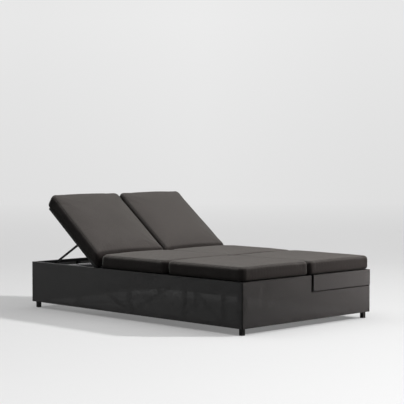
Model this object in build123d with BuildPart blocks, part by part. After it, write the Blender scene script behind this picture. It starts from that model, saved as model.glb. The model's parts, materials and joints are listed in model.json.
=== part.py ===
from build123d import *
from math import asin, cos, degrees, radians, sin, sqrt
import os

# Double chaise lounger: a low mesh-sided base, two hinged backs on notched props,
# six loose cushions and a pull-out tray in the right half of the foot end.
# Millimetres. The origin lies on the floor under the middle of the base,
# +X to the right of someone lying down facing the foot, +Y to the head end, +Z up.

os.makedirs("parts", exist_ok=True)

# Overall sizes of the base
overall_length = 2000.0
overall_width = 1200.0
base_height = 316.0
ground_gap = 42.0

# Walls: tube frames under a thin mesh
wall_depth = 20.0
mesh_thickness = 1.2
mesh_groove = 6.0
rail_height = 20.0
tube_wall = 1.8
post_width = 25.0
inner_post_setback = 494.0
outer_post_setback = 163.0
brace_width = 18.0
brace_depth = 12.0
end_post_spacing = 195.0
end_post_count = 2
centre_post_width = 34.0

# Legs, pads and bolts
leg_size = 25.0
leg_wall = 2.0
pad_height = 6.0
pad_edge = 2.0
centre_leg_diameter = 25.0
bolt_diameter = 8.0
bolt_head_width = 13.0
bolt_head_height = 5.0
bolt_grip = 32.0
bolt_side_place = 190.0
bolt_end_place = 100.0

# Members inside the base
deck_thickness = 25.0
seat_clearance = 0.3
beam_width = 50.0
beam_height = 40.0
ledger_height = 40.0
cross_rail_size = 25.0
inner_wall = 2.0

# Slatted seat decks and back frames
deck_gap = 2.0
centre_gap = 6.0
side_gap = 3.0
rim_width = 25.0
rim_wall = 2.0
slat_width = 46.0
slat_thickness = 4.0
slat_pitch = 68.0

# Back hinges
head_length = 675.0
hinge_setback = 15.0
back_tilt = 37.5
back_length = 638.0
knuckle_length = 15.0
hinge_pin_diameter = 10.0
running_clearance = 0.05
ear_thickness = 6.0
ear_radius = 12.0
ear_gap = 0.5
ear_drop = 35.0
pin_head_diameter = 14.0
pin_head_height = 3.0

# Props and racks
prop_pivot_reach = 280.0
prop_pivot_drop = 22.0
prop_length = 356.0
prop_foot_drop = 34.0
arm_width = 14.0
arm_thickness = 6.0
arm_margin = 37.0
rod_diameter = 12.0
rod_overhang = 13.5
prop_pin_diameter = 8.0
bracket_thickness = 6.0
bracket_gap = 0.3
bracket_radius = 9.0
rack_thickness = 6.0
rack_height = 36.0
rack_margin = 24.0
rack_clearance = 3.0
notch_clearance = 0.8
notch_length = 27.0
notch_slant = 120.0
notch_tilts = (20.0, 30.0, 37.5, 44.0, 50.0)

# Pull-out tray
tray_front_height = 100.0
tray_front_gap = 23.0
tray_sill_gap = 5.5
tray_length = 430.0
tray_depth = 55.0
tray_wall = 3.0
tray_lift = 8.0
tray_corner = 8.0
body_gap = 0.5
runner_depth = 14.0
runner_height = 24.0
runner_wall = 2.0
runner_length = 420.0
slide_clearance = 0.5

# Cushions
cushion_thickness = 88.0
cushion_hinge_gap = 34.0
cushion_joint_gap = 2.0
cushion_gap = 6.0
cushion_inset = 6.0
cushion_foot_inset = 3.0
cushion_edge = 22.0
cushion_low_edge = 8.0
cushion_crown = 16.0
cushion_end_crown = 4.0
cushion_bulge = 2.0
cushion_waist = 3.0
seat_end_lean = 10.0
back_cushion_start = 3.0
back_cushion_length = 660.0
back_cushion_thickness = 92.0
back_end_crown = 8.0
back_end_lean = -23.0
edge_step_angles = (75.0, 48.0, 22.0, 0.0)
body_place_shares = (0.14, 0.3, 0.5, 0.7, 0.86)
body_swell_shares = (0.6, 0.9, 1.0, 0.9, 0.6)
seat_lift_share = 0.35
back_lift_share = 0.8

# Places that follow from the sizes above
half_length = overall_length / 2
half_width = overall_width / 2
frame_depth = wall_depth - mesh_thickness
wall_mid = half_width - mesh_thickness - frame_depth / 2
wall_inside = half_width - wall_depth
end_mid = half_length - mesh_thickness - frame_depth / 2
end_inside = half_length - wall_depth
leg_x = wall_inside - leg_size / 2
leg_y = end_inside - leg_size / 2
inner_post_place = half_length - inner_post_setback
outer_post_place = half_length - outer_post_setback
hinge_place = half_length - head_length
deck_end_place = hinge_place - hinge_setback
post_foot = ground_gap + rail_height
post_head = base_height - rail_height
support_top = base_height - deck_thickness - seat_clearance
hinge_height = base_height - deck_thickness / 2
prop_foot_height = base_height - prop_foot_drop
deck_outer = wall_inside - side_gap
deck_inner = centre_gap / 2
chaise_mid = (deck_outer + deck_inner) / 2
arm_spread = deck_outer - deck_inner - 2 * arm_margin
tray_front_bottom = base_height - tray_front_height
sill_top = tray_front_bottom - tray_sill_gap
tray_front_left = centre_post_width / 2 + tray_front_gap
ledger_face = leg_x - leg_size / 2
tray_left = beam_width / 2 + runner_depth + body_gap
tray_right = ledger_face - runner_depth - body_gap
cushion_width = half_width - cushion_inset - cushion_gap / 2
cushion_mid = (half_width - cushion_inset + cushion_gap / 2) / 2
bolt_hole = bolt_diameter / 2 + running_clearance
sides = {"left": -1, "right": 1}

RIGHTWARD = (1, 0, 0)
HEADWARD = (0, 1, 0)


def along_x(x, y, z):
    """A plane at a point whose normal runs to the right."""
    return Plane(origin=(x, y, z), x_dir=HEADWARD, z_dir=RIGHTWARD)


def along_y(x, y, z):
    """A plane at a point whose normal runs to the head end."""
    return Plane(origin=(x, y, z), x_dir=RIGHTWARD, z_dir=HEADWARD)


def save(piece, label):
    """Names a finished piece and writes its file."""
    piece.part.label = label
    export_step(piece.part, "parts/" + label + ".step")


def box_tube(start, width, height, length, wall):
    """A straight open-ended tube of rectangular section from a start plane."""
    with BuildPart() as tube:
        with BuildSketch(start):
            Rectangle(width, height)
            Rectangle(width - 2 * wall, height - 2 * wall, mode=Mode.SUBTRACT)
        extrude(amount=length)
    return tube


# Side walls
bay_height = post_head - post_foot
bay_middle = (post_head + post_foot) / 2
end_post_place = end_inside - post_width / 2
side_posts = (0, inner_post_place, outer_post_place, end_post_place)

for side, sign in sides.items():
    for level, height in (("top", base_height), ("low", post_foot)):
        rail_mid = height - rail_height / 2
        rail = box_tube(
            along_y(sign * wall_mid, -end_inside, rail_mid),
            frame_depth,
            rail_height,
            2 * end_inside,
            tube_wall,
        )
        save(rail, side + "_wall_" + level + "_rail")

    with BuildPart() as posts:
        with BuildSketch(Plane.XY.offset(post_foot)):
            for place in side_posts:
                for end in (-1, 1) if place else (1,):
                    with Locations((sign * wall_mid, end * place)):
                        Rectangle(frame_depth, post_width)
                        Rectangle(
                            frame_depth - 2 * tube_wall,
                            post_width - 2 * tube_wall,
                            mode=Mode.SUBTRACT,
                        )
        extrude(amount=bay_height)
        for end in (-1, 1):
            with BuildSketch(along_x(sign * wall_inside, end * leg_y, bolt_side_place)):
                Circle(bolt_hole)
            extrude(amount=frame_depth / 2, both=True, mode=Mode.SUBTRACT)
    save(posts, side + "_wall_posts")

    # Each brace runs corner to corner of its bay and is cut off by the bay's own outline
    bays = ((0, inner_post_place, 1), (inner_post_place, outer_post_place, -1))
    with BuildPart() as braces:
        for near, far, slope in bays:
            bay_length = far - near - post_width
            lean = degrees(asin(bay_height / sqrt(bay_height**2 + bay_length**2)))
            for end in (-1, 1):
                bay_plane = along_x(
                    sign * wall_mid - brace_depth / 2,
                    end * (near + far) / 2,
                    bay_middle,
                )
                with BuildSketch(bay_plane):
                    Rectangle(
                        bay_length + bay_height, brace_width, rotation=end * slope * lean
                    )
                    Rectangle(bay_length, bay_height, mode=Mode.INTERSECT)
                extrude(amount=brace_depth)
    save(braces, side + "_wall_braces")

# Head wall
head_rail_length = 2 * (half_width - mesh_thickness)
for level, height in (("top", base_height), ("low", post_foot)):
    rail = box_tube(
        along_x(-head_rail_length / 2, end_mid, height - rail_height / 2),
        frame_depth,
        rail_height,
        head_rail_length,
        tube_wall,
    )
    save(rail, "head_wall_" + level + "_rail")

corner_post_width = leg_size + frame_depth
corner_post_place = half_width - mesh_thickness - corner_post_width / 2
end_post_places = [end_post_spacing * step for step in range(1, end_post_count + 1)]


def end_wall_posts(posts, depth_mid, inner_face):
    """The upright posts of an end wall, with bolt holes in the corner ones."""
    with BuildPart() as row:
        for place, width, head in posts:
            with BuildSketch(Plane.XY.offset(post_foot)):
                with Locations((place, depth_mid)):
                    Rectangle(width, frame_depth)
                    Rectangle(
                        width - 2 * tube_wall, frame_depth - 2 * tube_wall, mode=Mode.SUBTRACT
                    )
            extrude(amount=head - post_foot)
        for sign in sides.values():
            with BuildSketch(along_y(sign * leg_x, inner_face, bolt_end_place)):
                Circle(bolt_hole)
            extrude(amount=frame_depth / 2, both=True, mode=Mode.SUBTRACT)
    return row


head_posts = [(0, post_width, post_head)]
for sign in sides.values():
    head_posts.append((sign * corner_post_place, corner_post_width, post_head))
    head_posts += [(sign * place, post_width, post_head) for place in end_post_places]
save(end_wall_posts(head_posts, end_mid, end_inside), "head_wall_posts")

# Foot wall: full height on the left half, low under the tray front on the right half
centre_post_half = centre_post_width / 2
foot_rail_start = -head_rail_length / 2
foot_rails = {
    "foot_wall_low_rail": (foot_rail_start, head_rail_length, post_foot),
    "foot_wall_top_rail": (foot_rail_start, centre_post_half - foot_rail_start, base_height),
    "foot_wall_sill_rail": (centre_post_half, head_rail_length / 2 - centre_post_half, sill_top),
}
for label, (start, length, height) in foot_rails.items():
    rail = box_tube(
        along_x(start, -end_mid, height - rail_height / 2),
        frame_depth,
        rail_height,
        length,
        tube_wall,
    )
    save(rail, label)

sill_foot = sill_top - rail_height
foot_posts = [(0, centre_post_width, post_head)]
for sign, head in ((-1, post_head), (1, sill_foot)):
    foot_posts.append((sign * corner_post_place, corner_post_width, head))
    foot_posts += [(sign * place, post_width, head) for place in end_post_places]
save(end_wall_posts(foot_posts, -end_mid, -end_inside), "foot_wall_posts")

# Mesh covers, a dark groove apart at the corners
mesh_reach = half_length - mesh_groove
mesh_half = half_width - mesh_groove
for side, sign in sides.items():
    skin_face = half_width - mesh_thickness if sign > 0 else -half_width
    with BuildPart() as mesh:
        with BuildSketch(along_x(skin_face, 0, 0)):
            with Locations((0, (base_height + ground_gap) / 2)):
                Rectangle(2 * mesh_reach, base_height - ground_gap)
            if sign > 0:
                with Locations((-half_length, base_height)):
                    Rectangle(2 * wall_depth, 2 * (base_height - sill_top), mode=Mode.SUBTRACT)
        extrude(amount=mesh_thickness)
    save(mesh, side + "_wall_mesh")

with BuildPart() as head_mesh:
    with BuildSketch(along_y(0, half_length - mesh_thickness, (base_height + ground_gap) / 2)):
        Rectangle(2 * mesh_half, base_height - ground_gap)
    extrude(amount=mesh_thickness)
save(head_mesh, "head_wall_mesh")

with BuildPart() as foot_mesh:
    with BuildSketch(Plane.XZ.offset(half_length - mesh_thickness)):
        with BuildLine():
            Polyline(
                (-mesh_half, ground_gap),
                (mesh_half, ground_gap),
                (mesh_half, sill_top),
                (centre_post_half, sill_top),
                (centre_post_half, base_height),
                (-mesh_half, base_height),
                close=True,
            )
        make_face()
    extrude(amount=mesh_thickness)
save(foot_mesh, "foot_wall_mesh")

# Corner legs with bolt holes, their pads and bolts
leg_length = support_top - pad_height
for end_name, end in (("foot", -1), ("head", 1)):
    for side, sign in sides.items():
        centre = (sign * leg_x, end * leg_y)
        with BuildPart() as leg:
            with BuildSketch(Plane.XY.offset(pad_height)):
                with Locations(centre):
                    Rectangle(leg_size, leg_size)
                    Rectangle(leg_size - 2 * leg_wall, leg_size - 2 * leg_wall, mode=Mode.SUBTRACT)
            extrude(amount=leg_length)
            for hole in (
                along_x(sign * leg_x, end * leg_y, bolt_side_place),
                along_y(sign * leg_x, end * leg_y, bolt_end_place),
            ):
                with BuildSketch(hole):
                    Circle(bolt_hole)
                extrude(amount=leg_size, both=True, mode=Mode.SUBTRACT)
        save(leg, end_name + "_" + side + "_leg")

centre_leg_top = support_top - beam_height
with BuildPart() as centre_leg:
    with BuildSketch(Plane.XY.offset(pad_height)):
        Circle(centre_leg_diameter / 2)
        Circle(centre_leg_diameter / 2 - leg_wall, mode=Mode.SUBTRACT)
    extrude(amount=centre_leg_top - pad_height)
save(centre_leg, "centre_leg")

with BuildPart() as leg_pads:
    with BuildSketch(Plane.XY):
        with GridLocations(2 * leg_x, 2 * leg_y, 2, 2):
            Rectangle(leg_size, leg_size)
        Circle(centre_leg_diameter / 2)
    extrude(amount=pad_height)
    chamfer(leg_pads.faces().filter_by(Axis.Z).group_by(Axis.Z)[0].edges(), pad_edge)
save(leg_pads, "leg_pads")

with BuildPart() as bolts:
    for end in (-1, 1):
        for sign in sides.values():
            inner_face = end * (leg_y - leg_size / 2)
            for seat, way in (
                (along_x(sign * ledger_face, end * leg_y, bolt_side_place), sign),
                (along_y(sign * leg_x, inner_face, bolt_end_place), end),
            ):
                with BuildSketch(seat):
                    RegularPolygon(bolt_head_width / 2, 6, major_radius=False)
                extrude(amount=-way * bolt_head_height)
                with BuildSketch(seat):
                    Circle(bolt_diameter / 2)
                extrude(amount=way * bolt_grip)
save(bolts, "leg_bolts")

# Members inside the walls that carry the decks
beam = box_tube(
    along_y(0, -end_inside, support_top - beam_height / 2),
    beam_width,
    beam_height,
    2 * end_inside,
    inner_wall,
)
save(beam, "centre_beam")

with BuildPart() as cross_rails:
    for place in (-inner_post_place, inner_post_place):
        with BuildSketch(along_x(-wall_inside, place, centre_leg_top - cross_rail_size / 2)):
            Rectangle(cross_rail_size, cross_rail_size)
            Rectangle(
                cross_rail_size - 2 * inner_wall,
                cross_rail_size - 2 * inner_wall,
                mode=Mode.SUBTRACT,
            )
        extrude(amount=2 * wall_inside)
save(cross_rails, "cross_rails")

for side, sign in sides.items():
    ledger = box_tube(
        along_y(sign * leg_x, -leg_y + leg_size / 2, support_top - ledger_height / 2),
        leg_size,
        ledger_height,
        2 * leg_y - leg_size,
        inner_wall,
    )
    save(ledger, side + "_ledger")

    rail_start = beam_width / 2 if sign > 0 else -ledger_face
    hinge_rail = box_tube(
        along_x(rail_start, deck_end_place - cross_rail_size / 2, support_top - cross_rail_size / 2),
        cross_rail_size,
        cross_rail_size,
        ledger_face - beam_width / 2,
        inner_wall,
    )
    save(hinge_rail, side + "_hinge_rail")


# Slatted frames: a rim of channel, open on the cushion side, with flat slats across
def slatted_frame(base, middle, width, start, end, cross_place):
    """A rim and its slats, with a channel across where one has a place."""
    length = end - start
    centre = (middle, (start + end) / 2)
    span = width - 2 * rim_width
    reach = length - 2 * rim_width
    slat_count = int((reach - slat_width) / slat_pitch) + 1
    with BuildPart() as frame:
        with BuildSketch(base.offset(-deck_thickness / 2)):
            with Locations(centre):
                Rectangle(width, length)
                Rectangle(span, reach, mode=Mode.SUBTRACT)
            if cross_place:
                with Locations((middle, cross_place)):
                    Rectangle(span, rim_width)
        extrude(amount=deck_thickness)
        with BuildSketch(base.offset(rim_wall - deck_thickness / 2)):
            with Locations(centre):
                Rectangle(width - 2 * rim_wall, length - 2 * rim_wall)
                Rectangle(span + 2 * rim_wall, reach + 2 * rim_wall, mode=Mode.SUBTRACT)
            if cross_place:
                with Locations((middle, cross_place)):
                    Rectangle(span, rim_width - 2 * rim_wall)
        extrude(amount=deck_thickness, mode=Mode.SUBTRACT)
        with BuildSketch(base.offset(deck_thickness / 2 - slat_thickness)):
            with Locations(centre):
                with GridLocations(0, slat_pitch, 1, slat_count):
                    Rectangle(span + 2 * rim_wall, slat_width)
        extrude(amount=slat_thickness)
    return frame


deck_base = Plane.XY.offset(hinge_height)
deck_width = deck_outer - deck_inner
for side, sign in sides.items():
    deck = slatted_frame(
        deck_base, sign * chaise_mid, deck_width, deck_gap - end_inside, deck_end_place, 0
    )
    save(deck, side + "_seat_deck")

# Backs: frame, knuckles round the pins, ears, pins
tilt = radians(back_tilt)
back_base = Plane(
    origin=(0, hinge_place, hinge_height), x_dir=RIGHTWARD, z_dir=(0, -sin(tilt), cos(tilt))
)


def back_side(x):
    """A plane across the back at one place, its axes along the back and square to it."""
    return Plane(
        origin=(x, hinge_place, hinge_height), x_dir=(0, cos(tilt), sin(tilt)), z_dir=RIGHTWARD
    )


pin_hole = hinge_pin_diameter / 2 + running_clearance
for side, sign in sides.items():
    middle = sign * chaise_mid
    lattice = slatted_frame(
        back_base, middle, deck_width, knuckle_length, back_length, prop_pivot_reach
    )
    with BuildPart() as back:
        add(lattice.part)
        for x in (middle - deck_width / 2, middle + deck_width / 2 - rim_width):
            with BuildSketch(back_side(x)):
                Circle(deck_thickness / 2)
                with Locations((knuckle_length / 2, 0)):
                    Rectangle(knuckle_length, deck_thickness)
                Circle(pin_hole, mode=Mode.SUBTRACT)
            extrude(amount=rim_width)
    save(back, side + "_back_frame")

ear_half = deck_width / 2 - rim_width - ear_gap
ear_reach = hinge_place + ear_radius - deck_end_place
with BuildPart() as ears:
    for sign in sides.values():
        for start in (-ear_half, ear_half - ear_thickness):
            with BuildSketch(along_x(sign * chaise_mid + start, hinge_place, hinge_height)):
                Circle(ear_radius)
                with Locations((ear_radius - ear_reach / 2, -ear_drop / 2)):
                    Rectangle(ear_reach, ear_drop)
                Circle(pin_hole, mode=Mode.SUBTRACT)
            extrude(amount=ear_thickness)
save(ears, "hinge_ears")

pin_length = ear_thickness + ear_gap + rim_width
pin_start = ear_half - ear_thickness
with BuildPart() as pins:
    for sign in sides.values():
        for way in (-1, 1):
            head_x = sign * chaise_mid + way * pin_start
            with BuildSketch(along_x(head_x, hinge_place, hinge_height)):
                Circle(pin_head_diameter / 2)
            extrude(amount=-way * pin_head_height)
            with BuildSketch(along_x(head_x, hinge_place, hinge_height)):
                Circle(hinge_pin_diameter / 2)
            extrude(amount=way * pin_length)
save(pins, "hinge_pins")

# Props: two arms pinned under the back and a rod across their feet
pivot_y = hinge_place + prop_pivot_reach * cos(tilt) + prop_pivot_drop * sin(tilt)
pivot_z = hinge_height + prop_pivot_reach * sin(tilt) - prop_pivot_drop * cos(tilt)
prop_fall = asin((pivot_z - prop_foot_height) / prop_length)
foot_y = pivot_y + prop_length * cos(prop_fall)
prop_pin_hole = prop_pin_diameter / 2 + running_clearance
rod_hole = rod_diameter / 2 + running_clearance
for side, sign in sides.items():
    middle = sign * chaise_mid
    with BuildPart() as arms:
        for way in (-1, 1):
            arm_face = middle + way * arm_spread / 2 - arm_thickness / 2
            arm_plane = Plane(
                origin=(arm_face, pivot_y, pivot_z),
                x_dir=(0, cos(prop_fall), -sin(prop_fall)),
                z_dir=RIGHTWARD,
            )
            with BuildSketch(arm_plane):
                with Locations((prop_length / 2, 0)):
                    SlotCenterToCenter(prop_length, arm_width)
                Circle(prop_pin_hole, mode=Mode.SUBTRACT)
                with Locations((prop_length, 0)):
                    Circle(rod_hole, mode=Mode.SUBTRACT)
            extrude(amount=arm_thickness)
    save(arms, side + "_prop_arms")

    rod_length = arm_spread + 2 * rod_overhang
    with BuildPart() as rod:
        with BuildSketch(along_x(middle - rod_length / 2, foot_y, prop_foot_height)):
            Circle(rod_diameter / 2)
        extrude(amount=rod_length)
    save(rod, side + "_prop_rod")

    arm_outer = arm_spread / 2 + arm_thickness / 2
    arm_inner = arm_spread / 2 - arm_thickness / 2
    with BuildPart() as brackets:
        for way in (-1, 1):
            face = middle + way * (arm_outer + bracket_gap)
            with BuildSketch(back_side(face)):
                with Locations((prop_pivot_reach, -prop_pivot_drop)):
                    Circle(bracket_radius)
                bracket_height = prop_pivot_drop - deck_thickness / 2
                with Locations((prop_pivot_reach, -deck_thickness / 2 - bracket_height / 2)):
                    Rectangle(2 * bracket_radius, bracket_height)
                with Locations((prop_pivot_reach, -prop_pivot_drop)):
                    Circle(prop_pin_hole, mode=Mode.SUBTRACT)
            extrude(amount=way * bracket_thickness)
    save(brackets, side + "_prop_brackets")

    prop_pin_length = 2 * bracket_gap + arm_thickness + bracket_thickness
    with BuildPart() as prop_pins:
        for way in (-1, 1):
            face = middle + way * (arm_inner - bracket_gap)
            pin_plane = along_x(face, pivot_y, pivot_z)
            with BuildSketch(pin_plane):
                Circle(pin_head_diameter / 2)
            extrude(amount=-way * pin_head_height)
            with BuildSketch(pin_plane):
                Circle(prop_pin_diameter / 2)
            extrude(amount=way * prop_pin_length)
    save(prop_pins, side + "_prop_pins")


def foot_place(back_angle):
    """Where along the base the rod stands when the back is at an angle."""
    angle = radians(back_angle)
    pin_y = hinge_place + prop_pivot_reach * cos(angle) + prop_pivot_drop * sin(angle)
    pin_z = hinge_height + prop_pivot_reach * sin(angle) - prop_pivot_drop * cos(angle)
    return pin_y + sqrt(prop_length**2 - (pin_z - prop_foot_height) ** 2)


# Racks with hooked notches, one against the ledger and one against the beam for each prop
rack_top = prop_foot_height - rod_diameter / 2 - rack_clearance
notch_places = [foot_place(angle) for angle in notch_tilts]
rack_start = min(notch_places) - rack_margin
rack_end = max(notch_places) + rack_margin
notch_width = rod_diameter + 2 * notch_clearance
with BuildPart() as racks:
    for sign in sides.values():
        for face in (beam_width / 2, ledger_face - rack_thickness):
            start = face if sign > 0 else -face - rack_thickness
            with BuildSketch(along_x(start, 0, 0)):
                with Locations(((rack_start + rack_end) / 2, rack_top - rack_height / 2)):
                    Rectangle(rack_end - rack_start, rack_height)
                with Locations([(place, rack_top) for place in notch_places]):
                    SlotOverall(notch_length, notch_width, rotation=notch_slant, mode=Mode.SUBTRACT)
            extrude(amount=rack_thickness)
save(racks, "prop_racks")

# Pull-out tray: front board with a pocketed back, mesh cover, box, slides and fixed runners
front_inside = end_inside + body_gap
front_outside = half_length - mesh_thickness
front_right = half_width - mesh_thickness
with BuildPart() as tray_front:
    with BuildSketch(Plane.XY.offset(tray_front_bottom)):
        with Locations(((tray_front_left + front_right) / 2, -(front_inside + front_outside) / 2)):
            Rectangle(front_right - tray_front_left, front_outside - front_inside)
    extrude(amount=tray_front_height)
    front_mid = ((tray_front_left + front_right) / 2, tray_front_bottom + tray_front_height / 2)
    with BuildSketch(Plane.XZ.offset(front_inside)):
        with Locations(front_mid):
            Rectangle(
                front_right - tray_front_left - 2 * rail_height,
                tray_front_height - 2 * rail_height,
            )
    extrude(amount=front_outside - front_inside - tray_wall, mode=Mode.SUBTRACT)
save(tray_front, "tray_front")

with BuildPart() as tray_front_mesh:
    with BuildSketch(Plane.XY.offset(tray_front_bottom)):
        with BuildLine():
            Polyline(
                (tray_front_left, -half_length),
                (half_width, -half_length),
                (half_width, -front_inside),
                (front_right, -front_inside),
                (front_right, -front_outside),
                (tray_front_left, -front_outside),
                close=True,
            )
        make_face()
    extrude(amount=tray_front_height)
save(tray_front_mesh, "tray_front_mesh")

tray_bottom = tray_front_bottom + tray_lift
tray_centre = ((tray_left + tray_right) / 2, -front_inside + tray_length / 2)
tray_width = tray_right - tray_left
with BuildPart() as tray:
    with BuildSketch(Plane.XY.offset(tray_bottom)):
        with Locations(tray_centre):
            Rectangle(tray_width, tray_length)
    extrude(amount=tray_depth)
    with BuildSketch(Plane.XY.offset(tray_bottom + tray_wall)):
        with Locations(tray_centre):
            RectangleRounded(tray_width - 2 * tray_wall, tray_length - 2 * tray_wall, tray_corner)
    extrude(amount=tray_depth, mode=Mode.SUBTRACT)
save(tray, "tray")

runner_mid = tray_bottom + tray_depth / 2
slide_height = runner_height - 2 * runner_wall - 2 * slide_clearance
slide_depth = runner_depth - runner_wall - slide_clearance + body_gap
with BuildPart() as slides:
    for side_x, way in ((tray_left, -1), (tray_right, 1)):
        with BuildSketch(Plane.XZ.offset(front_inside)):
            with Locations((side_x + way * slide_depth / 2, runner_mid)):
                Rectangle(slide_depth, slide_height)
        extrude(amount=-runner_length)
save(slides, "tray_slides")

with BuildPart() as runners:
    for outer_x, way in ((beam_width / 2, 1), (ledger_face, -1)):
        with BuildSketch(Plane.XZ.offset(end_inside)):
            with Locations((outer_x + way * runner_depth / 2, runner_mid)):
                Rectangle(runner_depth, runner_height)
            with Locations((outer_x + way * (runner_depth / 2 + runner_wall), runner_mid)):
                Rectangle(runner_depth, runner_height - 2 * runner_wall, mode=Mode.SUBTRACT)
        extrude(amount=-runner_length)
save(runners, "tray_runners")


# Cushions: outlines across the cushion, set one behind the other along it
def cushion(base, middle, start, length, thickness, leans, end_crown, lift_share):
    """A crowned pad with rounded ends, drawn in at the waist, in short straight steps."""
    start_lean, end_lean = leans
    low = cushion_low_edge
    high = cushion_edge
    near_end = []
    far_end = []
    for angle in edge_step_angles:
        run = high * (1 - sin(radians(angle)))
        inset = high * (1 - cos(radians(angle)))
        near_end.append((start + run, start_lean, inset, inset, end_crown))
        far_end.insert(0, (start + length - run, end_lean, inset, inset, end_crown))
    body = []
    for place, swell in zip(body_place_shares, body_swell_shares):
        lean = start_lean + (end_lean - start_lean) * place
        crown = end_crown + (cushion_crown - end_crown) * swell
        body.append((start + length * place, lean, cushion_waist * swell, 0, crown))
    with BuildPart() as pad:
        for along, lean, inset, lowering, crown in near_end + body + far_end:
            turn = Location((middle, along, 0), (90 + lean, 0, 0))
            side = cushion_width / 2 - inset
            foot = lowering * lift_share
            top = (thickness - lowering) / cos(radians(lean))
            belly = (foot + low + top - high) / 2
            with BuildSketch(Plane(base.location * turn)):
                with BuildLine():
                    Line((low - side, foot), (side - low, foot))
                    CenterArc((side - low, foot + low), low, -90, 90)
                    ThreePointArc(
                        (side, foot + low), (side + cushion_bulge, belly), (side, top - high)
                    )
                    CenterArc((side - high, top - high), high, 0, 90)
                    ThreePointArc((side - high, top), (0, top + crown), (high - side, top))
                    CenterArc((high - side, top - high), high, 90, 90)
                    ThreePointArc(
                        (-side, top - high), (-side - cushion_bulge, belly), (-side, foot + low)
                    )
                    CenterArc((low - side, foot + low), low, 180, 90)
                make_face()
        loft(ruled=True)
    return pad


seat_base = Plane.XY.offset(base_height + seat_clearance)
back_cushion_base = back_base.offset(deck_thickness / 2 + seat_clearance)
foot_start = -half_length + cushion_foot_inset
seat_run = hinge_place - cushion_hinge_gap - foot_start
seat_cushion_length = (seat_run - cushion_joint_gap) / 2
middle_start = foot_start + seat_cushion_length + cushion_joint_gap
seat_edges = (cushion_end_crown, seat_lift_share)
pads = {
    "foot": (seat_base, foot_start, seat_cushion_length, cushion_thickness, (0, 0), seat_edges),
    "middle": (
        seat_base,
        middle_start,
        seat_cushion_length,
        cushion_thickness,
        (0, seat_end_lean),
        seat_edges,
    ),
    "back": (
        back_cushion_base,
        back_cushion_start,
        back_cushion_length,
        back_cushion_thickness,
        (back_end_lean, 0),
        (back_end_crown, back_lift_share),
    ),
}
for side, sign in sides.items():
    for label, (base, start, length, thickness, leans, edges) in pads.items():
        pad = cushion(base, sign * cushion_mid, start, length, thickness, leans, *edges)
        save(pad, side + "_" + label + "_cushion")
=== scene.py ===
import json
from math import cos, pi, radians, sin, tan

import bpy
import numpy as np
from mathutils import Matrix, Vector


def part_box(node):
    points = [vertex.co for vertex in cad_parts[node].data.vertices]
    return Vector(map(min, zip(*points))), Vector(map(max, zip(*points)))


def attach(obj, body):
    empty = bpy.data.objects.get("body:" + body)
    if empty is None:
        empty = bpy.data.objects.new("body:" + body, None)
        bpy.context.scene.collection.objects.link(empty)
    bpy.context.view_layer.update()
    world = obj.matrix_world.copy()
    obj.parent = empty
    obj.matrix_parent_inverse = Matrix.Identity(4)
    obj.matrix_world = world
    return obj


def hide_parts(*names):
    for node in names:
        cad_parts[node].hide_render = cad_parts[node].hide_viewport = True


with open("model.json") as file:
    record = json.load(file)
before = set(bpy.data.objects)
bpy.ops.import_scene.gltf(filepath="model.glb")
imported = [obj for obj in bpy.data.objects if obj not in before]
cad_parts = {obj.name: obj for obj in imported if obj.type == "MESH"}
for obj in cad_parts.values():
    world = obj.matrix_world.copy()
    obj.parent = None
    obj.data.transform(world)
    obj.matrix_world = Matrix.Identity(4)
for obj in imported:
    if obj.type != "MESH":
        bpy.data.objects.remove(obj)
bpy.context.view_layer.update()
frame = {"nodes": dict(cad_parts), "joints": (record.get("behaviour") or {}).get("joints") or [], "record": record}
nodes = frame["nodes"]

# Metres and radians. The frame's origin lies on the floor under the middle of the base, with +Y
# to the head end and +X to the right side, where the tray is.

# Cushions: leans, edges and how far each leaves its CAD solid. Pairs are left and right, or for
# END_MOVES the end towards the feet and the end towards the head.
BACK_TILT = radians(37.5)
MIDDLE_END_LEAN = radians(-7.0)
BACK_END_LEAN = radians(23.0)
PLAN_CORNER = 0.040
BACK_LOW_CORNER = 0.024
PANEL_EDGE = 0.021
FOOT_EDGE = 0.020
SIDE_GROWTHS = {"foot": 0.003, "middle": 0.003, "back": 0.0}
SIDE_SHIFTS = {"foot": (0.004, 0.006), "middle": (0.004, 0.006), "back": (-0.0045, 0.003)}
SIDE_WIDTHS = {"foot": (1.0, 1.0), "middle": (1.0, 1.0), "back": (1.012, 0.975)}
END_MOVES = {"foot": (0.0, 0.009), "middle": (0.012, 0.0), "back": (-0.008, 0.0)}
SEAT_START_THICKNESS = 0.087
BACK_START_THICKNESS = 0.090
EDGE_STEPS = 9
FLAT_STEPS = 26
BLOCK_WELD = 0.0002

# Their swelling as cloth, how much of it is kept, and the arch that each top gets
VOXEL = 0.006
SWELL_PRESSURE = 4.0
SWELL_FRAMES = 20
SWELL_SHARE = 0.20
TOP_ARCHES = {"foot": 0.004, "middle": 0.006, "back": 0.009}
SWELL_CAP = 0.022
SIDE_CAP = 0.006
HELD_HEIGHT = 0.004

# Their seams, puckers and unevenness. Each unevenness is a depth and a wave length.
SEAM_ANGLE = radians(52.0)
GROOVE_DEPTH = 0.0009
GROOVE_REACH = 0.0035
PUCKER_PITCH = 0.027
PUCKER_DEPTH = 0.0007
PUCKER_REACH = 0.030
PUCKER_START = 0.004
PUCKER_DRIFT = 1.7
PUCKER_DRIFT_LENGTH = 0.09
BROAD_UNEVENNESS = (0.0012, 0.34)
FINE_UNEVENNESS = (0.0005, 0.11)
EDGE_SHARPNESS = 8
SEEDS = {"foot": (40, 43), "middle": (47, 50), "back": (54, 57)}

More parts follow.
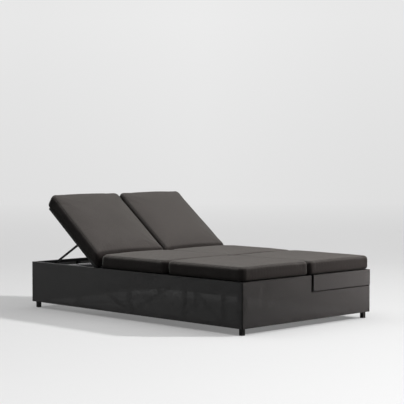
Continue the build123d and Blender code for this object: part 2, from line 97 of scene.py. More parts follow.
# Weaves and stitches
CLOTH_PITCH = 0.0016
MESH_PITCH = 0.0021
WEAVE_LIFT = 0.45
SEAM_HALF_WIDTH = 1 / 620.0
STITCH_OFFSET = 0.0045
STITCH_HALF_WIDTH = 1 / 1100.0
STITCH_WAVES = 1250.0
STITCH_GAP = -0.2
MESH_COVER = 0.87

# Colours, and pairs of them from dark to light
YARN = ((0.054, 0.0480, 0.0465, 1), (0.124, 0.1105, 0.107, 1))
YARN_SHEEN = (0.74, 0.83, 0.77, 1)
SEAM_SHADE = (0.022, 0.021, 0.020, 1)
STITCH_SHADE = (0.030, 0.029, 0.028, 1)
MESH_YARN = ((0.020, 0.020, 0.020, 1), (0.046, 0.045, 0.044, 1))
FRAME_COAT = ((0.014, 0.014, 0.0145, 1), (0.024, 0.024, 0.0245, 1))
LEG_COAT = ((0.010, 0.010, 0.010, 1), (0.018, 0.018, 0.018, 1))
TRAY_COAT = ((0.030, 0.030, 0.031, 1), (0.048, 0.048, 0.050, 1))
RUBBED_COAT = (0.09, 0.09, 0.09, 1)
STEEL = ((0.30, 0.30, 0.31, 1), (0.45, 0.45, 0.46, 1))
RUBBER = ((0.010, 0.010, 0.010, 1), (0.028, 0.027, 0.026, 1))

# The rubber bumper on the sill, just under the closed tray front
BUMPER_FRONT = -0.9985
BUMPER_SIZE = np.array([0.0165, 0.0170, 0.0052])
BUMPER_INSET = 0.0005
BUMPER_TOP_EDGE = 0.001
BUMPER_LOW_EDGE = 0.0004
BUMPER_CORNERS = (0.002, 0.002)
BUMPER_STEPS = 4
BUMPER_WELD = 0.00002

# Camera, as fitted to the photograph
PHOTO_WIDTH = 404
FOCAL_PIXELS = 1302.1
SENSOR = 36.0
CAMERA_PLACE = Vector((-6.0861, -6.1924, 1.0994))
CAMERA_PITCH = radians(2.376)
CAMERA_YAW = radians(44.794)

# Studio sweep: its floor before and behind the origin, its turn, height and half width. A row
# just before the turn holds the floor's shading flat.
STAGE_NEAR = 9.0
STAGE_FAR = 3.6
STAGE_HOLD = 0.02
STAGE_CURVE = 4.0
STAGE_TURN_STEPS = 25
STAGE_TOP = 9.0
STAGE_HALF = 14.0

# Its tone, whose changes are painted light falloff: at the origin, per metre away from the camera and to the
# right, and up the wall
PAPER_TONE = 0.845
PAINTED_FALLOFF_DEPTH = 0.019
PAINTED_FALLOFF_SIDE = 0.043
PAINTED_FALLOFF_SIDE_DEPTH = 0.0083
PAPER_DEEPEST = 5.0
PAPER_SIDEMOST = 2.0
FLOOR_FADE = 0.5
WALL_RISE = 0.075
WALL_RISE_START = 0.24
WALL_RISE_RUN = 2.4
WALL_STEP = 0.012
WALL_SIDE_FALL = 0.016
# The floor's lit share; the rest glows, a painted light that keeps the shade under the object pale
LIT_SHARE = 0.78
PAPER_SHADE = (0.11, 0.11, 0.11, 1)

# What gloss on the object mirrors of it, a painted reflection: bright at the left, dark at the right, and darker
# on the floor from just left of the object on as painted shadow
MIRRORED_LEFT = 0.92
MIRRORED_RIGHT = 0.04
MIRRORED_RUN = 2.0
MIRRORED_SHADE = 0.58
SHADE_RUN = 1.2
SHADE_START = 1.5

# Lamps: strengths of suns are the tone that white gets from them at a right angle
AIM = Vector((0, 0, 0.3))
SUN_DISTANCE = 6
SUN_UNIT = pi
KEY_PLACE = Vector((2.05, -2.65, 1.95))
KEY_POWER = 47.0
KEY_SIZE = 0.9
KEY_COLOR = (1.0, 0.925, 0.90)
SKY_COLOR = (1.0, 0.985, 0.965)
BEHIND_DIRECTION = Vector((0.4, 0.5, 0.77))
BEHIND_STRENGTH = 0.72
TOP_STRENGTH = 0.76
CARD_PLACE = Vector((1.25, -1.52, 0.24))
CARD_SIZE = 0.4
CARD_POWER = 4.7
SHADOW_DIRECTION = Vector((0.631, -0.610, 0.480))
TOP_DIRECTION = Vector((0.15, 0.15, 0.97))
SKY_SPREAD = radians(40)
FLOOR_KEY_STRENGTH = 0.80
FLOOR_KEY_SPREAD = radians(4)
FLOOR_SKY_STRENGTH = 0.66
FLOOR_SKY_SPREAD = radians(120)
WORLD_STRENGTH = 0.02
WORLD_SHOWN = 0.86

# Sockets of the Mix node for colours, which have no names of their own
MIX_SHARE, MIX_FIRST, MIX_SECOND, MIX_RESULT = 0, 6, 7, 2


class Signal:
    """A shader socket that can stand in a sum: each operator adds one Math node."""

    def __init__(self, finish, socket):
        self.finish = finish
        self.socket = socket

    def __add__(self, other):
        return self.finish.math("ADD", self, other)

    def __radd__(self, other):
        return self.finish.math("ADD", other, self)

    def __sub__(self, other):
        return self.finish.math("SUBTRACT", self, other)

    def __rsub__(self, other):
        return self.finish.math("SUBTRACT", other, self)

    def __mul__(self, other):
        return self.finish.math("MULTIPLY", self, other)

    def __rmul__(self, other):
        return self.finish.math("MULTIPLY", other, self)

    def __truediv__(self, other):
        return self.finish.math("DIVIDE", self, other)


class Finish:
    """A material being written: nodes come from node(), arithmetic from Signal's operators."""

    def __init__(self, name, tree=None):
        if tree is None:
            self.material = bpy.data.materials.new(name)
            self.material.use_nodes = True
            tree = self.material.node_tree
        self.tree = tree
        self.tree.nodes.clear()

    def node(self, kind, settings=None, inputs=None):
        """Adds a node, sets its settings and then its sockets, and returns it."""
        made = self.tree.nodes.new(kind)
        for key, value in (settings or {}).items():
            setattr(made, key, value)
        for key, value in (inputs or {}).items():
            if isinstance(value, Signal):
                self.tree.links.new(value.socket, made.inputs[key])
            else:
                made.inputs[key].default_value = value
        return made

    def out(self, kind, settings=None, inputs=None, socket=0):
        """Adds a node and returns one of its outputs as a signal."""
        return Signal(self, self.node(kind, settings, inputs).outputs[socket])

    def math(self, operation, *values):
        """One step of arithmetic."""
        return self.out("ShaderNodeMath", {"operation": operation}, dict(enumerate(values)))

    def mix(self, share, first, second):
        """A colour between two others."""
        sockets = {MIX_SHARE: share, MIX_FIRST: first, MIX_SECOND: second}
        return self.out("ShaderNodeMix", {"data_type": "RGBA"}, sockets, MIX_RESULT)

    def mix_shaders(self, share, first, second):
        """A shader between two others."""
        return self.out("ShaderNodeMixShader", inputs={0: share, 1: first, 2: second})

    def grey(self, tone):
        """A grey of a tone."""
        return self.out("ShaderNodeCombineColor", inputs={0: tone, 1: tone, 2: tone})

    def limit(self, value):
        """A value held between nought and one."""
        return self.math("MINIMUM", self.math("MAXIMUM", value, 0.0), 1.0)

    def place(self):
        """The point of the object that is being shaded, in metres."""
        return self.out("ShaderNodeTexCoord", socket="Object")

    def stored(self, name, socket):
        """A value or vector stored on the mesh."""
        return self.out("ShaderNodeAttribute", {"attribute_name": name}, socket=socket)

    def noise(self, vector, scale, detail, rough=0.5):
        """Smooth noise, as many waves to the metre as the scale says."""
        return self.out(
            "ShaderNodeTexNoise",
            inputs={"Vector": vector, "Scale": scale, "Detail": detail, "Roughness": rough},
        )

    def drawn_noise(self, vector, scales, detail):
        """Noise with a scale of its own along each axis."""
        drawn = self.out("ShaderNodeMapping", inputs={"Vector": vector, "Scale": scales})
        return self.noise(drawn, 1.0, detail)

    def bump(self, height, depth, strength):
        """The normal of a surface raised by a height."""
        return self.out(
            "ShaderNodeBump", inputs={"Strength": strength, "Distance": depth, "Height": height}
        )

    def surface(self, inputs):
        """Ends the material in one Principled shader."""
        shader = self.node("ShaderNodeBsdfPrincipled", inputs=inputs)
        self.end(Signal(self, shader.outputs[0]))
        return self.material

    def end(self, shader):
        """Ends the material in any shader."""
        self.node("ShaderNodeOutputMaterial", inputs={"Surface": shader})
        return self.material


def split(finish, vector):
    """The three parts of a vector signal."""
    parts = finish.node("ShaderNodeSeparateXYZ", inputs={"Vector": vector})
    return [Signal(finish, parts.outputs[i]) for i in range(3)]


def weave_height(finish, across, along, pitch):
    """A plain weave: warp and weft are rows of half cylinders, each on top in turn.

    With s and t the sines across and along, the warp's height is |s| + k s t and the weft's is
    |t| - k s t. The higher of the two shows.
    """
    turn = pi / pitch
    across_wave = finish.math("SINE", across * turn)
    along_wave = finish.math("SINE", along * turn)
    lift = across_wave * along_wave
    warp = finish.math("ABSOLUTE", across_wave) + lift * WEAVE_LIFT
    weft = finish.math("ABSOLUTE", along_wave) - lift * WEAVE_LIFT
    return finish.math("MAXIMUM", warp, weft)


def cushion_cloth():
    """Dark grey outdoor cloth: fine weave, heathered yarn, soft sheen, darker stitched seams.

    A seam is a line that fades out with distance. A row of stitches is such a line beside it, cut
    into dashes where a sine along it is high.
    """
    finish = Finish("cushion_cloth")
    cloth = finish.stored("cloth", "Vector")
    seam = finish.math("ABSOLUTE", finish.stored("seam", "Fac"))
    across, along, _ = split(finish, cloth)
    weave = weave_height(finish, across, along, CLOTH_PITCH)
    yarn = finish.noise(cloth, 420.0, 2.0)
    streak = finish.drawn_noise(cloth, (30.0, 420.0, 1.0), 2.0)
    cloud = finish.noise(finish.place(), 5.0, 4.0)
    tone = yarn * 0.5 + streak * 0.3 + cloud * 0.35 - 0.1
    color = finish.mix(tone, *YARN)
    seam_line = 1.0 - finish.math("MINIMUM", seam / SEAM_HALF_WIDTH, 1.0)
    color = finish.mix(seam_line * 0.65, color, SEAM_SHADE)
    off_thread = finish.math("ABSOLUTE", seam - STITCH_OFFSET)
    thread_row = 1.0 - finish.math("MINIMUM", off_thread / STITCH_HALF_WIDTH, 1.0)
    wave = finish.math("SINE", (across + along) * STITCH_WAVES)
    stitches = thread_row * finish.math("GREATER_THAN", wave, STITCH_GAP)
    color = finish.mix(stitches * 0.5, color, STITCH_SHADE)
    height = weave * 0.18 + yarn * 0.10 + stitches * 0.9 - seam_line * 1.4
    return finish.surface({
        "Base Color": color,
        "Roughness": 0.86 + cloud * 0.08,
        "Specular IOR Level": 0.15,
        "Sheen Weight": 0.30,
        "Sheen Roughness": 0.42,
        "Sheen Tint": YARN_SHEEN,
        "Normal": finish.bump(height, 0.0009, 0.8),
    })


def wall_mesh():
    """Flat woven coated yarn: dark, slightly glossy, thin enough to show light through it."""
    finish = Finish("wall_mesh")
    place = finish.place()
    x, y, z = split(finish, place)
    weave = weave_height(finish, x + y, z, MESH_PITCH)
    drift = finish.noise(place, 3.5, 3.0)
    yarn = finish.drawn_noise(place, (18.0, 18.0, 480.0), 2.0)
    tone = weave * 0.4 + yarn * 0.35 + drift * 0.25
    return finish.surface({
        "Base Color": finish.mix(tone, *MESH_YARN),
        "Roughness": 0.38 + drift * 0.10,
        "Specular IOR Level": 0.6,
        "Alpha": MESH_COVER,
        "Normal": finish.bump(weave + yarn * 0.3, 0.0006, 0.55),
    })


def powder_coat(name, shades, rough):
    """A fine orange-peel skin with faint clouds of tone and gloss, rubbed in a few spots."""
    finish = Finish(name)
    place = finish.place()
    peel = finish.noise(place, 900.0, 2.0)
    cloud = finish.noise(place, 9.0, 4.0)
    rub = finish.noise(place, 46.0, 5.0, 0.65)
    worn = finish.math("MAXIMUM", (rub - 0.60) * 3.0, 0.0)
    color = finish.mix(worn * 0.35, finish.mix(cloud, *shades), RUBBED_COAT)
    return finish.surface({
        "Base Color": color,
        "Roughness": rough + cloud * 0.12 - worn * 0.1,
        "Specular IOR Level": 0.25,
        "Normal": finish.bump(peel, 0.00035, 0.35),
    })


def plain_steel():
    """Turned steel: rings of fine scratches and a slight stain."""
    finish = Finish("plain_steel")
    place = finish.place()
    turned = finish.drawn_noise(place, (900.0, 60.0, 60.0), 3.0)
    stain = finish.noise(place, 60.0, 4.0)
    return finish.surface({
        "Base Color": finish.mix(stain, *STEEL),
        "Metallic": 1.0,
        "Roughness": 0.28 + turned * 0.18,
        "Normal": finish.bump(turned, 0.0001, 0.3),
    })


def foot_rubber():
    """Moulded rubber with a fine grain and floor dust."""
    finish = Finish("foot_rubber")
    place = finish.place()
    grain = finish.noise(place, 1400.0, 2.0)
    dust = finish.noise(place, 70.0, 5.0, 0.7)
    return finish.surface({
        "Base Color": finish.mix(dust, *RUBBER),
        "Roughness": 0.75 + grain * 0.15,
        "Normal": finish.bump(grain, 0.0002, 0.5),
    })


def made_mesh(name, vertices, faces):
    """A mesh object at the origin from arrays of points and faces."""
    data = bpy.data.meshes.new(name)
    data.from_pydata(vertices.tolist(), [], faces.tolist())
    data.validate()
    made = bpy.data.objects.new(name, data)
    bpy.context.scene.collection.objects.link(made)
    return made


def points_of(thing):
    """All points of a mesh object as an array."""
    flat = np.empty(len(thing.data.vertices) * 3, np.float32)
    thing.data.vertices.foreach_get("co", flat)
    return flat.reshape(-1, 3).astype(float)


def rounded_block(name, low, high, top_edge, low_edge, corners, steps):
    """A block with rounded edges and plan corners, as six grids that still have to be welded.

    In plan, a point q of the box goes to c + p n. Here c is q clamped into the plan shrunk by the
    corner radius of its end, n points from c to q, and p is the larger part of q - c. In the
    upright plane through n, the pair (s, t) of its reach past the flats is drawn to the edge
    circle, r (s, t) / |(s, t)|. The edge radius r runs from low_edge at the foot to top_edge.
    The grid lines lie by a sine over each edge, and evenly in the given steps between.
    """
    half = (high - low) / 2
    mid = (high + low) / 2
    ramp = np.sin(np.linspace(0, pi / 2, EDGE_STEPS))
    widest = max(corners)
    stops = [
        np.concatenate([
            -1 + (1 - ramp[::-1]) * reach / half[axis],
            np.linspace(-1 + reach / half[axis], 1 - reach / half[axis], steps)[1:-1],
            1 - (1 - ramp) * reach / half[axis],
        ])
        for axis, reach in enumerate((widest, widest, top_edge))
    ]
    points = []
    faces = []
    count = 0
    for axis in range(3):
        first, second = [a for a in range(3) if a != axis]
        u, v = np.meshgrid(stops[first], stops[second], indexing="ij")
        for face in (-1, 1):
            grid = np.empty(u.shape + (3,))
            grid[..., axis] = face
            grid[..., first] = u
            grid[..., second] = v
            points.append(grid.reshape(-1, 3))
            index = np.arange(u.size).reshape(u.shape) + count
            quads = np.stack(
                [index[:-1, :-1], index[1:, :-1], index[1:, 1:], index[:-1, 1:]], -1
            ).reshape(-1, 4)
            outward = face * (1 if axis != 1 else -1) > 0
            faces.append(quads if outward else quads[:, ::-1])
            count += u.size
    q = np.concatenate(points) * half
    share = np.clip((q[:, 2:3] / half[2] + 1) / 2, 0, 1)
    radius = low_edge + (top_edge - low_edge) * share
    corner = np.where(q[:, 1:2] < 0, *corners)
    plan_centre = np.clip(q[:, :2], -(half[:2] - corner), half[:2] - corner)
    away = q[:, :2] - plan_centre
    way = away / np.maximum(np.linalg.norm(away, axis=1, keepdims=True), 1e-9)
    reach = np.abs(away).max(axis=1, keepdims=True)
    past = np.maximum(reach - (corner - radius), 0)
    rise = np.maximum(np.abs(q[:, 2:3]) - (half[2] - radius), 0)
    span = np.maximum(np.hypot(past, rise), 1e-9)
    reach = np.where(past > 0, corner - radius + radius * past / span, reach)
    level = np.abs(q[:, 2:3]) - rise + radius * rise / span
    q = np.concatenate([plan_centre + way * reach, np.sign(q[:, 2:3]) * level], axis=1)
    return made_mesh(name, q + mid, np.concatenate(faces))


def shade_smooth(thing):
    """Shades every face of the object smoothly."""
    thing.data.polygons.foreach_set("use_smooth", [True] * len(thing.data.polygons))


def apply_modifiers(thing):
    """Replaces the object's mesh by its mesh with all modifiers applied."""
    graph = bpy.context.evaluated_depsgraph_get()
    finished = bpy.data.meshes.new_from_object(thing.evaluated_get(graph))
    thing.modifiers.clear()
    thing.data = finished


def swell(pad):
    """Blows the pad up as cloth, with its foot held, and returns how far each point moved."""
    before = points_of(pad)
    held = pad.vertex_groups.new(name="held")
    foot = np.nonzero(before[:, 2] < before[:, 2].min() + HELD_HEIGHT)[0]
    held.add(foot.tolist(), 1.0, "REPLACE")
    cloth = pad.modifiers.new("swell", "CLOTH")
    settings = cloth.settings
    settings.quality = 4
    settings.mass = 0.25
    settings.tension_stiffness = 18.0
    settings.compression_stiffness = 12.0
    settings.shear_stiffness = 6.0
    settings.bending_stiffness = 0.4
    settings.use_pressure = True
    settings.uniform_pressure_force = SWELL_PRESSURE
    settings.effector_weights.gravity = 0.0
    settings.vertex_group_mass = "held"
    cloth.collision_settings.use_collision = False
    scene = bpy.context.scene
    cloth.point_cache.frame_start = 1
    cloth.point_cache.frame_end = SWELL_FRAMES
    for step in range(1, SWELL_FRAMES + 1):
        scene.frame_set(step)
    apply_modifiers(pad)
    scene.frame_set(1)
    return points_of(pad) - before


def soft_cap(moved, cap):
    """Moves kept short: each grows as before while small and levels out at the cap."""
    return cap * np.tanh(moved / cap)


def past_plan(local, half, corner):
    """Distance of points past a rectangle with rounded corners, negative inside it.

    With e = |p| - (half - corner), it is the length of e's positive parts, plus the larger of
    e's parts where both are negative, less the corner radius, which each point brings.
    """
    over = np.abs(local[:, :2]) - (half[:2] - corner[:, None])
    outside = np.hypot(*np.maximum(over, 0).T)
    return outside + np.minimum(over.max(axis=1), 0) - corner


def panel_coordinates(points, low, high, corners):
    """Cloth coordinates of a boxed cushion and the distance of each point from its seams.

    The top and foot panels take their own x and y. The boxing between them takes the run round
    the plan and the height, and a third coordinate marks it. The seams lie on the rounded edges
    at one angle, so the signed distance to one is the edge radius times the angle past it, or the
    straight distance beyond.
    """
    half = (high - low) / 2
    local = points - (low + high) / 2
    on_side = np.abs(local[:, 0]) / half[0] > np.abs(local[:, 1]) / half[1]
    run = np.where(on_side, local[:, 1], local[:, 0])
    corner = np.where(local[:, 1] < 0, *corners)
    distance = []
    for way, edge in ((1, PANEL_EDGE), (-1, FOOT_EDGE)):
        past = past_plan(local, half - edge, corner - edge)
        above = way * local[:, 2] - (half[2] - edge)
        angle = np.arctan2(np.maximum(above, 0), np.maximum(past, 1e-6))
        arc = edge * (angle - SEAM_ANGLE)
        flat = edge * (pi / 2 - SEAM_ANGLE) - past
        side = -edge * SEAM_ANGLE + above
        distance.append(np.where(above <= 0, side, np.where(past <= 0, flat, arc)))
    top, foot = distance
    seam = np.where(np.abs(top) < np.abs(foot), top, foot)
    boxing = (top < 0) & (foot < 0)
    cloth = np.stack([
        np.where(boxing, run, local[:, 0]),
        np.where(boxing, local[:, 2], local[:, 1]),
        np.where(boxing, 1.0, 0.0),
    ], axis=1)
    return cloth, seam, run


def give_cloth(pad, cloth, seam):
    """Stores the cloth coordinates and seam distance on the mesh."""
    names = (("cloth", "FLOAT_VECTOR", "vector", cloth), ("seam", "FLOAT", "value", seam))
    for name, kind, field, values in names:
        attribute = pad.data.attributes.new(name, kind, "POINT")
        attribute.data.foreach_set(field, values.astype(np.float32).ravel())


def ripple(points, seed, scale, count=5):
    """A smooth seeded unevenness: the mean of a few sine waves in random directions."""
    dice = np.random.default_rng(seed)
    total = np.zeros(len(points))
    for _ in range(count):
        direction = dice.normal(size=3)
        direction /= np.linalg.norm(direction)
        length = scale * dice.uniform(0.7, 1.6)
        total += np.sin(points @ direction * 2 * pi / length + dice.uniform(0, 2 * pi))
    return total / count


def cushion_blank(name, size, corners):
    """One cushion's start block, remeshed evenly, its swelling and its cloth coordinates.
    """
    low = np.array([-size[0] / 2, -size[1] / 2, 0.0])
    high = np.array([size[0] / 2, size[1] / 2, size[2]])
    pad = rounded_block(name, low, high, PANEL_EDGE, FOOT_EDGE, corners, FLAT_STEPS)
    weld = pad.modifiers.new("weld", "WELD")
    weld.merge_threshold = BLOCK_WELD
    remesh = pad.modifiers.new("remesh", "REMESH")
    remesh.mode = "VOXEL"
    remesh.voxel_size = VOXEL
    remesh.adaptivity = 0.0
    apply_modifiers(pad)
    start = points_of(pad)
    faces = np.array([polygon.vertices[:] for polygon in pad.data.polygons])
    cloth, seam, run = panel_coordinates(start, low, high, corners)
    moved = swell(pad)
    bpy.data.objects.remove(pad)
    return {
        "faces": faces,
        "start": start,
        "moved": moved,
        "cloth": cloth,
        "seam": seam,
        "run": run,
        "half": high * (1, 1, 0.5),
    }


def back_axes():
    """Directions across, along and square to the tilted backs."""
    return np.array([
        [1.0, 0.0, 0.0],
        [0.0, cos(BACK_TILT), sin(BACK_TILT)],
        [0.0, -sin(BACK_TILT), cos(BACK_TILT)],
    ])


def local_box(node, origin, axes):
    """Lowest and highest corner of a CAD node along its own directions."""
    local = (points_of(nodes[node]) - origin) @ axes.T
    return local.min(axis=0), local.max(axis=0)


def cushion_shape(blank, width, lean, arch, seed, mirrored):
    """One cushion's swollen, sewn and leaning form, in its own directions.

    The swelling is taken in part, capped and added, and the top rises from both sides by a
    parabola. The seams pucker by a sine along them that dies out with distance and lie in a
    shallow groove, and the top panel is a little uneven. These three go outward, along x^n, y^n
    and z^n with their signs, each counted in half sizes from the middle. One end leans by a shear
    that grows with height and towards that end, the foot stays flat, and the whole is drawn to
    its width.
    """
    turn = np.array([-1.0 if mirrored else 1.0, 1.0, 1.0])
    start = blank["start"] * turn
    half = blank["half"]
    cap = np.array([SIDE_CAP, SIDE_CAP, SWELL_CAP])
    shape = start + soft_cap(blank["moved"] * turn * SWELL_SHARE, cap)
    height = start[:, 2] / half[2] / 2
    shape[:, 2] += arch * height ** 2 * (1 - (start[:, 0] / half[0]) ** 2)
    off_seam = np.abs(blank["seam"])
    near = np.exp(-off_seam / PUCKER_REACH) * (1 - np.exp(-off_seam / PUCKER_START))
    drift = PUCKER_DRIFT * ripple(start, seed, PUCKER_DRIFT_LENGTH)
    puckers = PUCKER_DEPTH * near * np.sin(blank["run"] * 2 * pi / PUCKER_PITCH + drift)
    groove = GROOVE_DEPTH * np.exp(-(off_seam / GROOVE_REACH) ** 2)
    uneven = sum(
        depth * ripple(start, seed + number, length)
        for number, (depth, length) in enumerate((BROAD_UNEVENNESS, FINE_UNEVENNESS), 1)
    )
    outward = (start - [0, 0, half[2]]) / half
    outward = np.sign(outward) * np.abs(outward) ** EDGE_SHARPNESS
    outward /= np.maximum(np.linalg.norm(outward, axis=1, keepdims=True), 1e-6)
    lift = puckers - groove + uneven * (outward[:, 2] > 0)
    shape += outward * lift[:, None]
    share = np.clip(shape[:, 1] / half[1] / 2 + 0.5, 0, 1)
    shape[:, 1] += shape[:, 2] * tan(lean) * (share if lean < 0 else 1 - share)
    shape[:, 2] = np.maximum(shape[:, 2], 0.0)
    shape[:, 0] *= width
    return shape


def make_cushions(cloth):
    """Six loose cushions from three blanks, the right ones mirrored."""
    hinge = np.array(next(j for j in frame["joints"] if j["name"] == "left_back_hinge")["pos_m"])
    hinge[0] = 0.0
    level = (np.zeros(3), np.eye(3))
    tilted = (hinge, back_axes())
    seats = ("base", "base")
    backs = ("back_left", "back_right")
    kinds = {
        "foot": (seats, level, 0.0, SEAT_START_THICKNESS, PLAN_CORNER),
        "middle": (seats, level, MIDDLE_END_LEAN, SEAT_START_THICKNESS, PLAN_CORNER),
        "back": (backs, tilted, BACK_END_LEAN, BACK_START_THICKNESS, BACK_LOW_CORNER),
    }
    for kind, (bodies, (origin, axes), lean, thickness, low_corner) in kinds.items():
        low, high = local_box("left_" + kind + "_cushion", origin, axes)
        low[1] += END_MOVES[kind][0]
        high[1] += END_MOVES[kind][1]
        middle = (low + high) / 2
        size = (high[0] - low[0] + 2 * SIDE_GROWTHS[kind], high[1] - low[1], thickness)
        blank = cushion_blank(kind + "_blank", size, (low_corner, PLAN_CORNER))
        for number, side in enumerate(("left", "right")):
            mirrored = side == "right"
            width = SIDE_WIDTHS[kind][number]
            seed = SEEDS[kind][number]
            across = (-middle[0] if mirrored else middle[0]) + SIDE_SHIFTS[kind][number]
            shape = cushion_shape(blank, width, lean, TOP_ARCHES[kind], seed, mirrored)
            shape += (across, middle[1], low[2])
            faces = blank["faces"][:, ::-1] if mirrored else blank["faces"]
            pad = made_mesh(side + "_" + kind + "_pad", shape @ axes + origin, faces)
            give_cloth(pad, blank["cloth"], blank["seam"])
            shade_smooth(pad)
            finer = pad.modifiers.new("finer", "SUBSURF")
            finer.levels = 1
            finer.render_levels = 1
            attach(pad, bodies[number])
            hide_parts(side + "_" + kind + "_cushion")
            pad.data.materials.append(cloth)


def sill_bumper(rubber):
    """A rubber block with rounded edges on the sill's right end, just under the closed tray."""
    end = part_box("foot_wall_sill_rail")[1]
    low = np.array([end[0] - BUMPER_INSET - BUMPER_SIZE[0], BUMPER_FRONT, end[2]])
    bumper = rounded_block(
        "sill_bumper",
        low,
        low + BUMPER_SIZE,
        BUMPER_TOP_EDGE,
        BUMPER_LOW_EDGE,
        BUMPER_CORNERS,
        BUMPER_STEPS,
    )
    weld = bumper.modifiers.new("weld", "WELD")
    weld.merge_threshold = BUMPER_WELD
    apply_modifiers(bumper)
    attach(bumper, "base")
    bumper.data.materials.append(rubber)


def dress_frame(rubber):
    """Gives every CAD node that stays its finish, by its material slot."""
    by_slot = {
        "woven_mesh": wall_mesh(),
        "pads": rubber,
        "fasteners": plain_steel(),
        "legs": powder_coat("leg_coat", LEG_COAT, 0.42),
        "tray_metal": powder_coat("tray_coat", TRAY_COAT, 0.46),
        "frame": powder_coat("frame_coat", FRAME_COAT, 0.42),
    }
    for entry in frame["record"]["subparts"]:
        finish = by_slot.get(entry["material_slot"])
        if finish:
            thing = nodes[entry["node"]]
            thing.data.materials.clear()
            thing.data.materials.append(finish)


def studio_paper():
    """Pale paper, in the tone that the photograph's floor and backdrop have.

    On the floor the tone is a - b d + s (c - e d), with d the depth away from the camera and s the
    way to the right. Up the wall it rises over a run and falls with |s|. These changes of tone are
    painted light, the lamps' falloff over floor and wall. The camera sees it lit on the floor, with
    a share that glows as painted light to keep the shade under the object pale, and glowing on the
    wall. Gloss sees a painted reflection, a level that falls to the right and is darker on the
    floor from just left of the object on as painted shadow, and every other ray sees dark paper, so
    that the sweep throws little light on the object. From its rear the sweep is open.
    """
    finish = Finish("studio_paper")
    x, y, z = split(finish, finish.place())
    depth = x * sin(CAMERA_YAW) + y * cos(CAMERA_YAW)
    depth = finish.math("MINIMUM", depth, PAPER_DEEPEST)
    right = x * cos(CAMERA_YAW) - y * sin(CAMERA_YAW)
    side = finish.limit(right / (2 * PAPER_SIDEMOST) + 0.5) * (2 * PAPER_SIDEMOST) - PAPER_SIDEMOST
    on_floor = finish.limit(1.0 - z / FLOOR_FADE)
    on_wall = 1.0 - on_floor
    # Painted light: the tone falls away from the camera, rises to the right and up the wall, and falls to the
    # wall's sides, as the lamps' light would
    tone = PAPER_TONE - PAINTED_FALLOFF_DEPTH * depth
    tone = tone + side * (PAINTED_FALLOFF_SIDE - PAINTED_FALLOFF_SIDE_DEPTH * depth) * on_floor
    tone = tone + finish.limit((z - WALL_RISE_START) / WALL_RISE_RUN) * WALL_RISE
    tone = tone + on_wall * (WALL_STEP - finish.math("ABSOLUTE", side) * WALL_SIDE_FALL)
    paper = finish.grey(tone)
    lit = finish.out("ShaderNodeBsdfDiffuse", inputs={"Color": paper})
    glow = finish.out("ShaderNodeEmission", inputs={"Color": paper})
    # On the floor a share glows: painted light that keeps the shade under the object pale
    shown = finish.mix_shaders(on_floor * LIT_SHARE, glow, lit)
    level = MIRRORED_LEFT + finish.limit(right / MIRRORED_RUN) * (MIRRORED_RIGHT - MIRRORED_LEFT)
    # The floor's mirrored level is darker from just left of the object on: a painted shadow standing for the
    # object's shadow on the floor
    painted_shadow_floor = on_floor * finish.limit(x / SHADE_RUN + SHADE_START)
    level = level * (1.0 - MIRRORED_SHADE * painted_shadow_floor)
    mirrored = finish.out("ShaderNodeEmission", inputs={"Color": finish.grey(level)})
    sheet = finish.out("ShaderNodeBsdfDiffuse", inputs={"Color": PAPER_SHADE})
    path = finish.node("ShaderNodeLightPath")
    for flag, shader in (("Is Glossy Ray", mirrored), ("Is Camera Ray", shown)):
        sheet = finish.mix_shaders(Signal(finish, path.outputs[flag]), sheet, shader)
    rear = finish.out("ShaderNodeNewGeometry", socket="Backfacing")
    open_rear = finish.out("ShaderNodeBsdfTransparent")
    return finish.end(finish.mix_shaders(rear, sheet, open_rear))


def studio_sweep():
    """Floor and backdrop in one: a straight floor, a quarter turn and a wall, carried sideways.

    A point at run s lies at (s, 0) on the floor, on a circle through the turn, and then goes up.
    """
    turn = np.linspace(0, pi / 2, STAGE_TURN_STEPS)
    profile = np.concatenate([
        [[-STAGE_NEAR, 0.0], [STAGE_FAR - STAGE_HOLD, 0.0]],
        np.stack([STAGE_FAR + STAGE_CURVE * np.sin(turn), STAGE_CURVE * (1 - np.cos(turn))], 1),
        [[STAGE_FAR + STAGE_CURVE, STAGE_TOP]],
    ])
    ahead = np.array([sin(CAMERA_YAW), cos(CAMERA_YAW), 0.0])
    aside = np.array([cos(CAMERA_YAW), -sin(CAMERA_YAW), 0.0])
    up = np.array([0.0, 0.0, 1.0])
    middle_row = profile[:, :1] * ahead + profile[:, 1:] * up
    rows = [middle_row + side * aside for side in (-STAGE_HALF, STAGE_HALF)]
    index = np.arange(len(profile) - 1)
    faces = np.stack([index, index + 1, index + 1 + len(profile), index + len(profile)], 1)
    stage = made_mesh("studio_floor", np.concatenate(rows), faces[:, ::-1])
    shade_smooth(stage)
    stage.data.materials.append(studio_paper())
    return stage


def lamp(name, kind, place, strength, spread, color=(1, 1, 1)):
    """A lamp aimed at the middle of the object. The spread is a sun's angle or an area's side."""
    data = bpy.data.lights.new(name, kind)
    data.energy = strength
    data.color = color
    if kind == "SUN":
        data.angle = spread
    else:
        data.size = spread
    made = bpy.data.objects.new(name, data)
    bpy.context.scene.collection.objects.link(made)
    made.location = place
    made.visible_camera = False
    made.rotation_euler = (place - AIM).to_track_quat("Z", "Y").to_euler()
    return made


def soft_sun(name, direction, strength, spread, color=(1, 1, 1)):
    """A sun from a direction, from which white turned to it gets the strength as its tone."""
    return lamp(name, "SUN", AIM + direction * SUN_DISTANCE, strength * SUN_UNIT, spread, color)


def share_light(lamps, floor, on_floor):
    """Lets lamps light the floor alone, or all but the floor."""
    for made in lamps:
        receivers = bpy.data.collections.new(made.name + "_receivers")
        receivers.objects.link(floor)
        link = receivers.collection_objects[0].light_linking
        link.link_state = "INCLUDE" if on_floor else "EXCLUDE"
        made.light_linking.receiver_collection = receivers


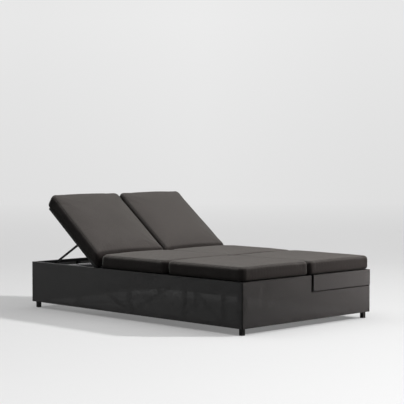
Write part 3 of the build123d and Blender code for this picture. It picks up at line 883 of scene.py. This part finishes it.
def light_studio(floor):
    """Lights the object and the floor apart, so that the floor's tone needs no more light on it.

    The object has a key at the right of the foot end, a soft sky from behind and above, and a
    card that only its gloss shows. The floor has a small sun for its shadow and a wide one.
    """
    key = lamp("key", "AREA", KEY_PLACE, KEY_POWER, KEY_SIZE, KEY_COLOR)
    behind = soft_sun("behind", BEHIND_DIRECTION, BEHIND_STRENGTH, SKY_SPREAD, SKY_COLOR)
    above = soft_sun("above", TOP_DIRECTION, TOP_STRENGTH, SKY_SPREAD, SKY_COLOR)
    card = lamp("card", "AREA", CARD_PLACE, CARD_POWER, CARD_SIZE, KEY_COLOR)
    card.visible_diffuse = False
    floor_key = soft_sun("floor_key", SHADOW_DIRECTION, FLOOR_KEY_STRENGTH, FLOOR_KEY_SPREAD)
    floor_sky = soft_sun("floor_sky", TOP_DIRECTION, FLOOR_SKY_STRENGTH, FLOOR_SKY_SPREAD)
    share_light((key, behind, above, card), floor, False)
    share_light((floor_key, floor_sky), floor, True)


def air_around():
    """The world: next to no light, and a pale tone where the camera sees past the sweep."""
    world = bpy.data.worlds.new("studio")
    bpy.context.scene.world = world
    world.use_nodes = True
    finish = Finish("studio", world.node_tree)
    path = finish.node("ShaderNodeLightPath")
    dim = finish.out("ShaderNodeBackground", inputs={"Strength": WORLD_STRENGTH})
    white = {"Color": (1, 1, 1, 1), "Strength": WORLD_SHOWN}
    pale = finish.out("ShaderNodeBackground", inputs=white)
    shown = finish.mix_shaders(Signal(finish, path.outputs["Is Camera Ray"]), dim, pale)
    finish.node("ShaderNodeOutputWorld", inputs={"Surface": shown})


def set_camera():
    """The camera, as a pinhole fitted to the photograph."""
    data = bpy.data.cameras.new("photo_camera")
    data.sensor_width = SENSOR
    data.lens = FOCAL_PIXELS / PHOTO_WIDTH * SENSOR
    data.clip_end = 60.0
    camera = bpy.data.objects.new("photo_camera", data)
    bpy.context.scene.collection.objects.link(camera)
    camera.location = CAMERA_PLACE
    camera.rotation_euler = (pi / 2 - CAMERA_PITCH, 0.0, -CAMERA_YAW)
    bpy.context.scene.camera = camera


rubber = foot_rubber()
set_camera()
light_studio(studio_sweep())
air_around()
dress_frame(rubber)
sill_bumper(rubber)
make_cushions(cushion_cloth())
bpy.context.scene.view_settings.view_transform = "Standard"
